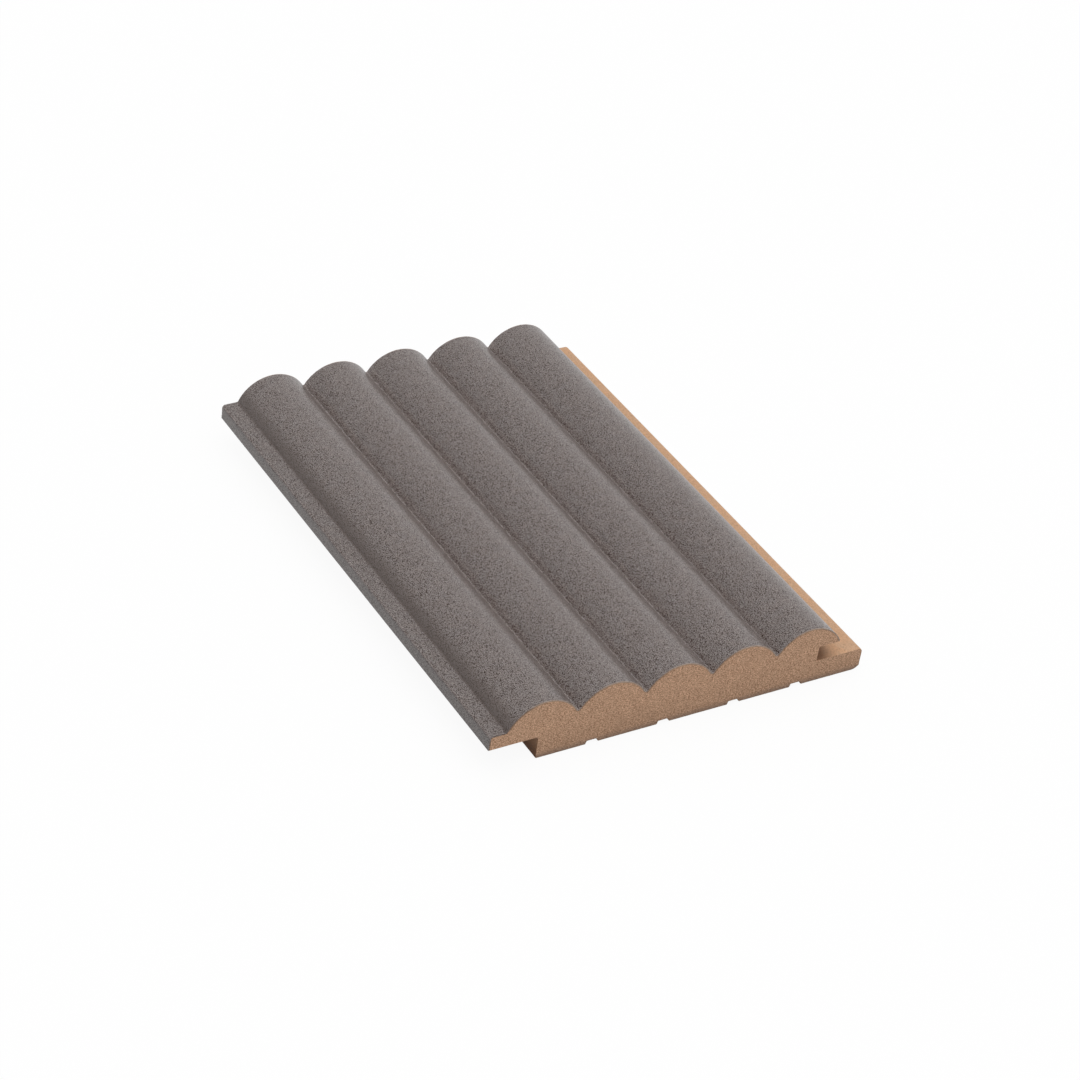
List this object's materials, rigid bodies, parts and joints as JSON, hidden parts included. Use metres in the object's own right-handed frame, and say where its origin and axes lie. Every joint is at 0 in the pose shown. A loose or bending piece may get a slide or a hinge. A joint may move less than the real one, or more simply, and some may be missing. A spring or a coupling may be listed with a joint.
{
  "type": "fluted mdf wall panel sample",
  "caption": "Short length of tongue and groove MDF wall panel with half-round flutes, wrapped in a thin speckled grey decor film; ends, tongue, rebate and back are raw board.",
  "frame": {"origin": "middle of the back face, in the plane that lies on the floor or on the wall", "axes": "+X across the flutes from the thin lip to the tongue, +Y along the flutes, +Z out of the decorated face"},
  "size_m": [0.1136, 0.1544, 0.018],
  "materials": {
    "mdf_board": "raw medium-density fibreboard, fine fibres, matte",
    "decor_film": "thin matte decor film, warm grey with a fine darker and lighter speckle"
  },
  "bodies": {
    "root": {"mdf_board": "mdf_board", "decor_film": "decor_film"}
  },
  "joints": []
}
